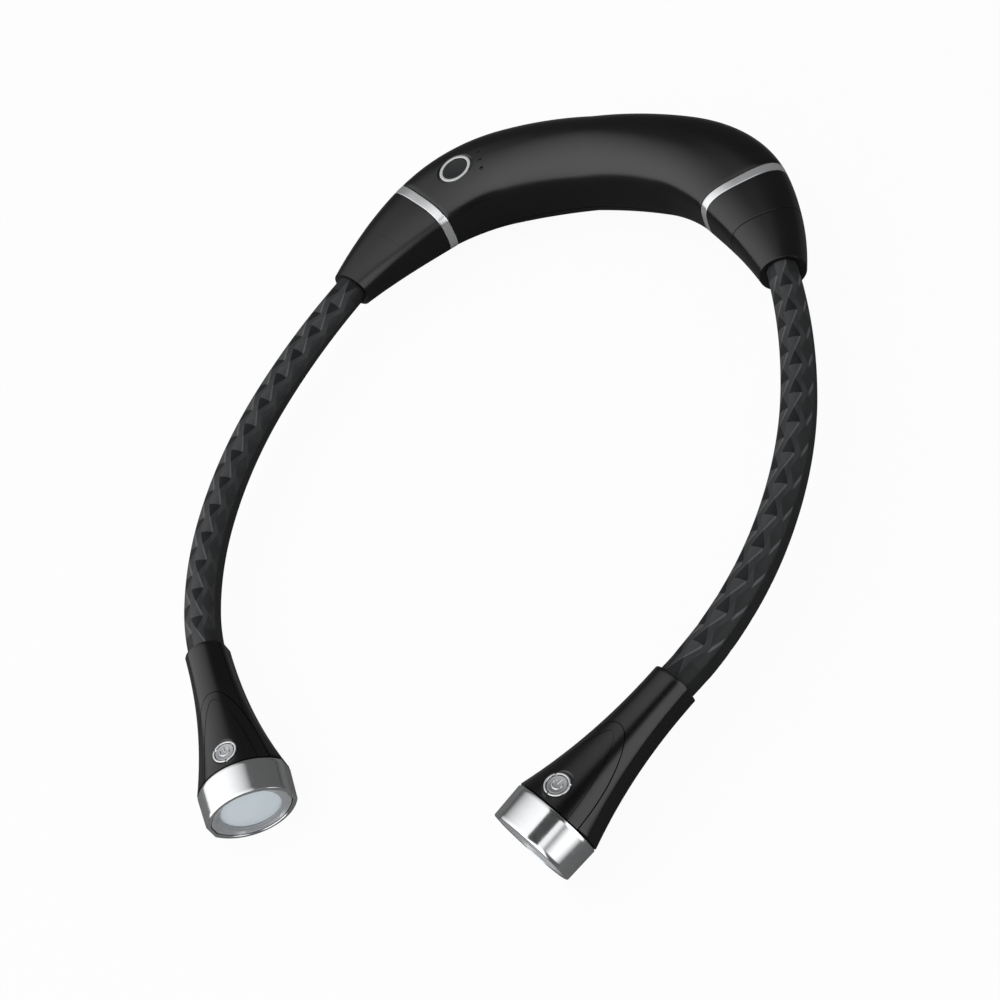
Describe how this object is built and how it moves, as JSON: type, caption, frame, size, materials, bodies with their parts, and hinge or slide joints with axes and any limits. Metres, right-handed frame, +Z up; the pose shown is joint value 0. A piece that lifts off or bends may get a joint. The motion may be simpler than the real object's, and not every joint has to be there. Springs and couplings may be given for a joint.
{
  "type": "neck reading light",
  "caption": "Hands-free reading light worn round the neck: a curved battery housing, two bendable sleeved arms and a round lamp in a metal collar on each end.",
  "frame": {"origin": "middle of the flat strip under the housing, which the light rests on when it lies flat", "axes": "+X across, from the wearer's one shoulder to the other; +Y from the lamp heads to the housing; +Z up, square to the flat strip"},
  "size_m": [0.1814, 0.259, 0.0294],
  "materials": {
    "body_plastic": "satin black moulded ABS",
    "silicone": "matte black moulded silicone with raised pyramids",
    "polished_steel": "bright turned metal trim",
    "bezel_metal": "satin grey metal",
    "gooseneck_steel": "plain steel",
    "diffuser": "frosted pale diffuser",
    "circuit_board": "solder-masked glass epoxy",
    "switch_plastic": "small moulded tact switch",
    "cell_wrap": "shrink wrap",
    "wire_jacket": "soft wire jacket"
  },
  "bodies": {
    "root": {"housing_shell": "body_plastic", "housing_base": "body_plastic", "end_collar_left": "body_plastic", "arm_boot_left": "body_plastic", "end_collar_right": "body_plastic", "arm_boot_right": "body_plastic", "arm_sleeve_left_0": "silicone", "arm_sleeve_right_0": "silicone", "power_button_ring": "polished_steel", "usb_port": "polished_steel", "band_left": "polished_steel", "band_right": "polished_steel", "gooseneck_link_left_0": "gooseneck_steel", "gooseneck_link_right_0": "gooseneck_steel", "base_screw_left": "gooseneck_steel", "base_screw_right": "gooseneck_steel", "indicator_light_guide": "diffuser", "main_board": "circuit_board", "power_switch": "switch_plastic", "battery_cell": "cell_wrap", "battery_lead": "wire_jacket", "led_lead_left": "wire_jacket", "led_lead_right": "wire_jacket"},
    "left_arm_1": {"gooseneck_link_left_1": "gooseneck_steel", "arm_sleeve_left_1": "silicone"},
    "left_arm_2": {"gooseneck_link_left_2": "gooseneck_steel", "arm_sleeve_left_2": "silicone"},
    "left_arm_3": {"gooseneck_link_left_3": "gooseneck_steel", "arm_sleeve_left_3": "silicone"},
    "left_head": {"gooseneck_link_left_4": "gooseneck_steel", "arm_sleeve_left_4": "silicone", "head_casing_left": "body_plastic", "head_panel_left": "body_plastic", "head_button_bezel_left": "polished_steel", "head_board_left": "circuit_board", "head_switch_left": "switch_plastic", "collar_ring_left": "polished_steel", "lens_bezel_left": "bezel_metal", "lens_left": "diffuser", "led_board_left": "circuit_board"},
    "left_head_button": {"head_button_left": "bezel_metal"},
    "right_arm_1": {"gooseneck_link_right_1": "gooseneck_steel", "arm_sleeve_right_1": "silicone"},
    "right_arm_2": {"gooseneck_link_right_2": "gooseneck_steel", "arm_sleeve_right_2": "silicone"},
    "right_arm_3": {"gooseneck_link_right_3": "gooseneck_steel", "arm_sleeve_right_3": "silicone"},
    "right_head": {"gooseneck_link_right_4": "gooseneck_steel", "arm_sleeve_right_4": "silicone", "head_casing_right": "body_plastic", "head_panel_right": "body_plastic", "head_button_bezel_right": "polished_steel", "head_board_right": "circuit_board", "head_switch_right": "switch_plastic", "collar_ring_right": "polished_steel", "lens_bezel_right": "bezel_metal", "lens_right": "diffuser", "led_board_right": "circuit_board"},
    "right_head_button": {"head_button_right": "bezel_metal"},
    "power_button": {"power_button": "body_plastic"}
  },
  "joints": [
    {"name": "left_swing_1", "type": "hinge", "parent": "root", "child": "left_arm_1", "pos_m": [-0.07787, -0.07202, 0.0145], "axis": [0, 0, 1], "range_deg": [-30, 15], "deforming": ["arm_sleeve_left_0", "arm_sleeve_left_1", "led_lead_left"]},
    {"name": "left_lift_1", "type": "hinge", "parent": "left_arm_1", "child": "left_arm_2", "pos_m": [-0.08447, -0.10236, 0.0145], "axis": [-0.99, 0.141, 0], "range_deg": [-35, 35], "deforming": ["arm_sleeve_left_1", "arm_sleeve_left_2", "led_lead_left"]},
    {"name": "left_swing_2", "type": "hinge", "parent": "left_arm_2", "child": "left_arm_3", "pos_m": [-0.085, -0.14367, 0.0145], "axis": [0, 0, 1], "range_deg": [-30, 25], "deforming": ["arm_sleeve_left_2", "arm_sleeve_left_3", "led_lead_left"]},
    {"name": "left_lift_2", "type": "hinge", "parent": "left_arm_3", "child": "left_head", "pos_m": [-0.07788, -0.17383, 0.0145], "axis": [-0.9387, -0.3446, 0], "range_deg": [-35, 35], "deforming": ["arm_sleeve_left_3", "arm_sleeve_left_4", "led_lead_left"]},
    {"name": "left_head_button_press", "type": "slide", "parent": "left_head", "child": "left_head_button", "axis": [0.0561, -0.0834, -0.9949], "range_m": [0, 0.0004], "stiffness_N_per_m": 400},
    {"name": "right_swing_1", "type": "hinge", "parent": "root", "child": "right_arm_1", "pos_m": [0.07787, -0.07202, 0.0145], "axis": [0, 0, 1], "range_deg": [-15, 30], "deforming": ["arm_sleeve_right_0", "arm_sleeve_right_1", "led_lead_right"]},
    {"name": "right_lift_1", "type": "hinge", "parent": "right_arm_1", "child": "right_arm_2", "pos_m": [0.08447, -0.10236, 0.0145], "axis": [-0.99, -0.141, 0], "range_deg": [-35, 35], "deforming": ["arm_sleeve_right_1", "arm_sleeve_right_2", "led_lead_right"]},
    {"name": "right_swing_2", "type": "hinge", "parent": "right_arm_2", "child": "right_arm_3", "pos_m": [0.085, -0.14367, 0.0145], "axis": [0, 0, 1], "range_deg": [-25, 30], "deforming": ["arm_sleeve_right_2", "arm_sleeve_right_3", "led_lead_right"]},
    {"name": "right_lift_2", "type": "hinge", "parent": "right_arm_3", "child": "right_head", "pos_m": [0.07788, -0.17383, 0.0145], "axis": [-0.9387, 0.3446, 0], "range_deg": [-35, 35], "deforming": ["arm_sleeve_right_3", "arm_sleeve_right_4", "led_lead_right"]},
    {"name": "right_head_button_press", "type": "slide", "parent": "right_head", "child": "right_head_button", "axis": [-0.0524, -0.0857, -0.9949], "range_m": [0, 0.0004], "stiffness_N_per_m": 400},
    {"name": "power_button_press", "type": "slide", "parent": "root", "child": "power_button", "axis": [0.1156, 0.0825, -0.9899], "range_m": [0, 0.0005], "stiffness_N_per_m": 400}
  ]
}
